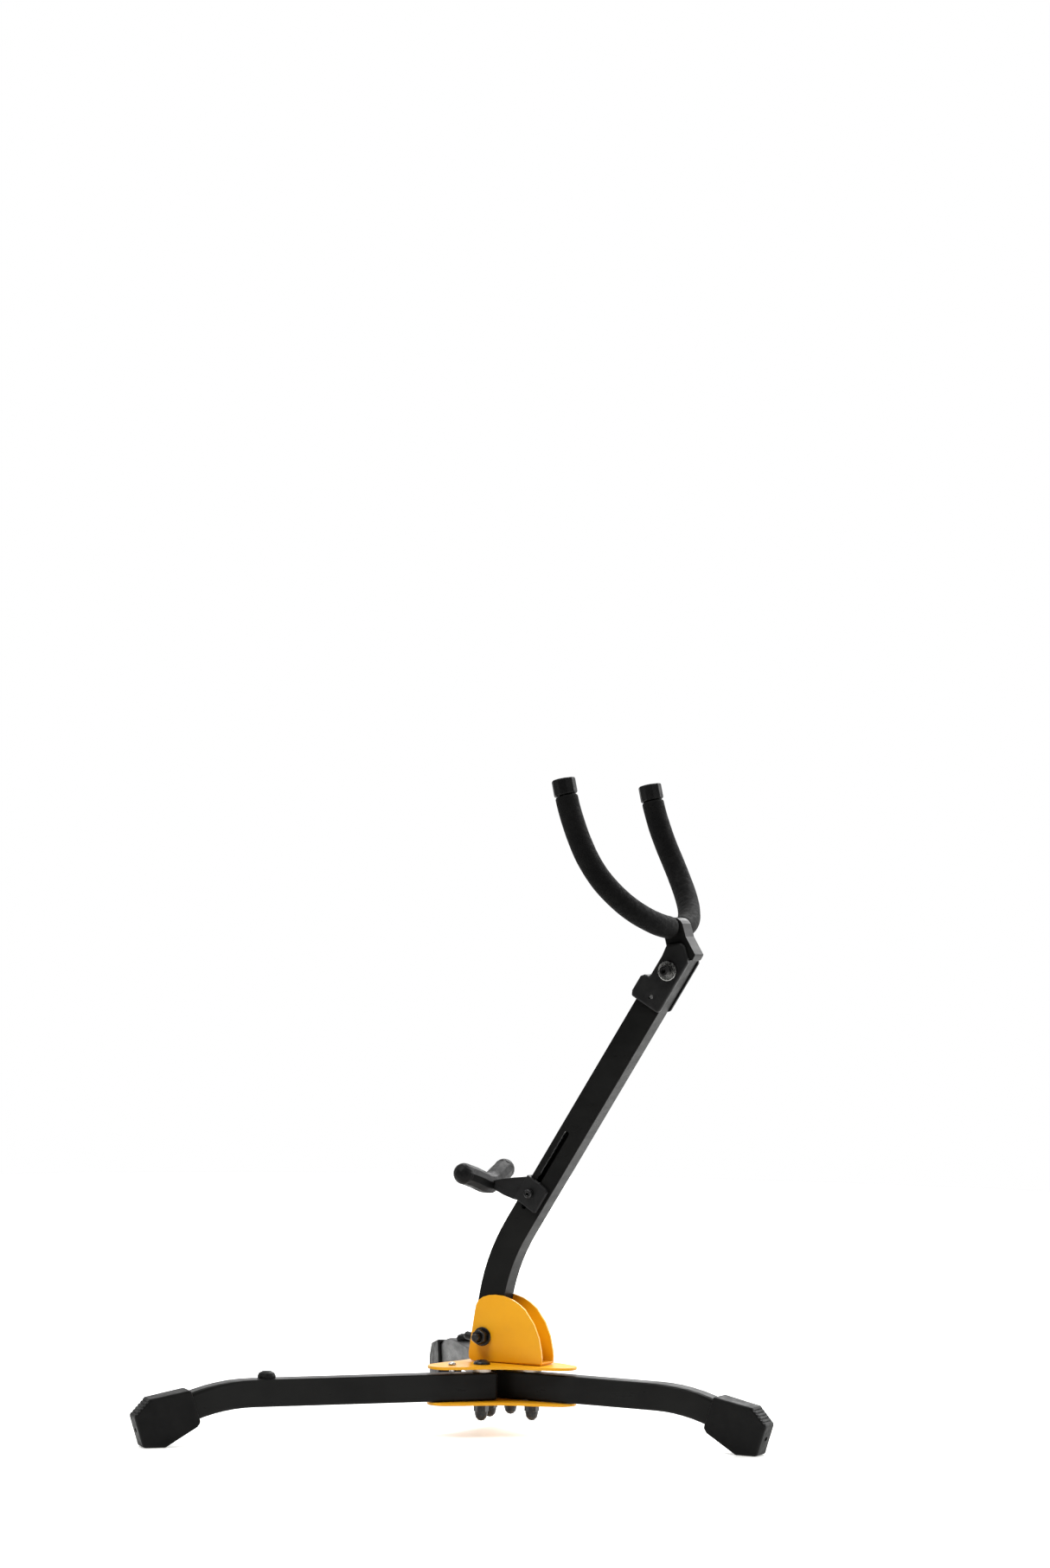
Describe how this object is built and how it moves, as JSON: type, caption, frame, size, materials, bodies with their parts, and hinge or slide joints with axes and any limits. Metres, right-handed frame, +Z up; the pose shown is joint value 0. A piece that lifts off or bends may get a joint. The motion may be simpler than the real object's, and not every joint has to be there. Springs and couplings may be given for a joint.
{
  "type": "saxophone stand",
  "caption": "Folding floor stand for a saxophone: swinging tube legs on a plate hub, a bent folding upright, a sliding rubber fork rest and a padded folding yoke.",
  "frame": {"origin": "on the floor under the centre of the bounding box", "axes": "+Z up, +X along the front leg, the upright leans towards +X, left and right legs at -Y and +Y"},
  "size_m": [0.3278, 0.37, 0.3938],
  "materials": {
    "amber_paint": "satin amber-orange powder coat on steel sheet",
    "black_paint": "satin black powder coat on steel tube",
    "black_steel": "black oxide fasteners",
    "bright_steel": "bright zinc plate",
    "rubber": "matt black moulded rubber",
    "foam": "matt black closed-cell foam",
    "plastic": "fine-textured black nylon",
    "nylon": "natural nylon"
  },
  "bodies": {
    "base": {"bottom_plate": "amber_paint", "clevis": "amber_paint", "far_pivot_washer": "black_steel", "fold_bolt": "black_steel", "fold_nut": "black_steel", "front_bolt": "black_steel", "front_cap_nut": "black_steel", "front_foot": "rubber", "front_leg": "black_paint", "front_spacer": "nylon", "left_detent_stud": "bright_steel", "left_leg_bolt": "black_steel", "left_leg_cap_nut": "black_steel", "left_leg_spacer": "nylon", "middle_bolt": "black_steel", "middle_cap_nut": "black_steel", "middle_spacer": "nylon", "near_pivot_washer": "black_steel", "right_detent_stud": "bright_steel", "right_leg_bolt": "black_steel", "right_leg_cap_nut": "black_steel", "right_leg_spacer": "nylon", "top_plate": "amber_paint"},
    "upright": {"far_yoke_washer": "bright_steel", "fold_bush": "bright_steel", "hinge_housing": "plastic", "housing_pin": "bright_steel", "near_yoke_washer": "bright_steel", "upright_tube": "black_paint", "yoke_bolt": "black_steel", "yoke_nut": "black_steel"},
    "release_button": {"fold_release_button": "plastic"},
    "left_leg": {"left_leg_bumper": "rubber", "left_rear_foot": "rubber", "left_rear_leg": "black_paint"},
    "yoke": {"left_yoke_cap": "rubber", "left_yoke_foam": "foam", "right_yoke_cap": "rubber", "right_yoke_foam": "foam", "yoke_bar": "black_paint", "yoke_stem": "black_paint"},
    "lower_rest": {"rest_collar": "plastic", "rest_fork": "rubber", "rest_nut": "black_steel", "rest_screw": "black_steel"},
    "right_leg": {"right_leg_bumper": "rubber", "right_rear_foot": "rubber", "right_rear_leg": "black_paint"}
  },
  "joints": [
    {"name": "left_leg_swing", "type": "hinge", "parent": "base", "child": "left_leg", "pos_m": [-0.01763, -0.0186, 0.0295], "axis": [0, 0, 1], "range_deg": [0, 131]},
    {"name": "right_leg_swing", "type": "hinge", "parent": "base", "child": "right_leg", "pos_m": [-0.01763, 0.0186, 0.0295], "axis": [0, 0, 1], "range_deg": [-131, 0]},
    {"name": "upright_fold", "type": "hinge", "parent": "base", "child": "upright", "pos_m": [-0.02313, 0, 0.0576], "axis": [0, 1, 0], "range_deg": [0, 66]},
    {"name": "release_button_press", "type": "slide", "parent": "upright", "child": "release_button", "axis": [0.9848, 0, -0.1736], "range_m": [0, 0.0015], "stiffness_N_per_m": 400, "springref_m": -0.002},
    {"name": "lower_rest_slide", "type": "slide", "parent": "upright", "child": "lower_rest", "axis": [0.5329, 0, 0.8462], "range_m": [-0.007, 0.043]},
    {"name": "yoke_fold", "type": "hinge", "parent": "upright", "child": "yoke", "pos_m": [0.09737, 0, 0.28077], "axis": [0, 1, 0], "range_deg": [-86, 0]}
  ]
}
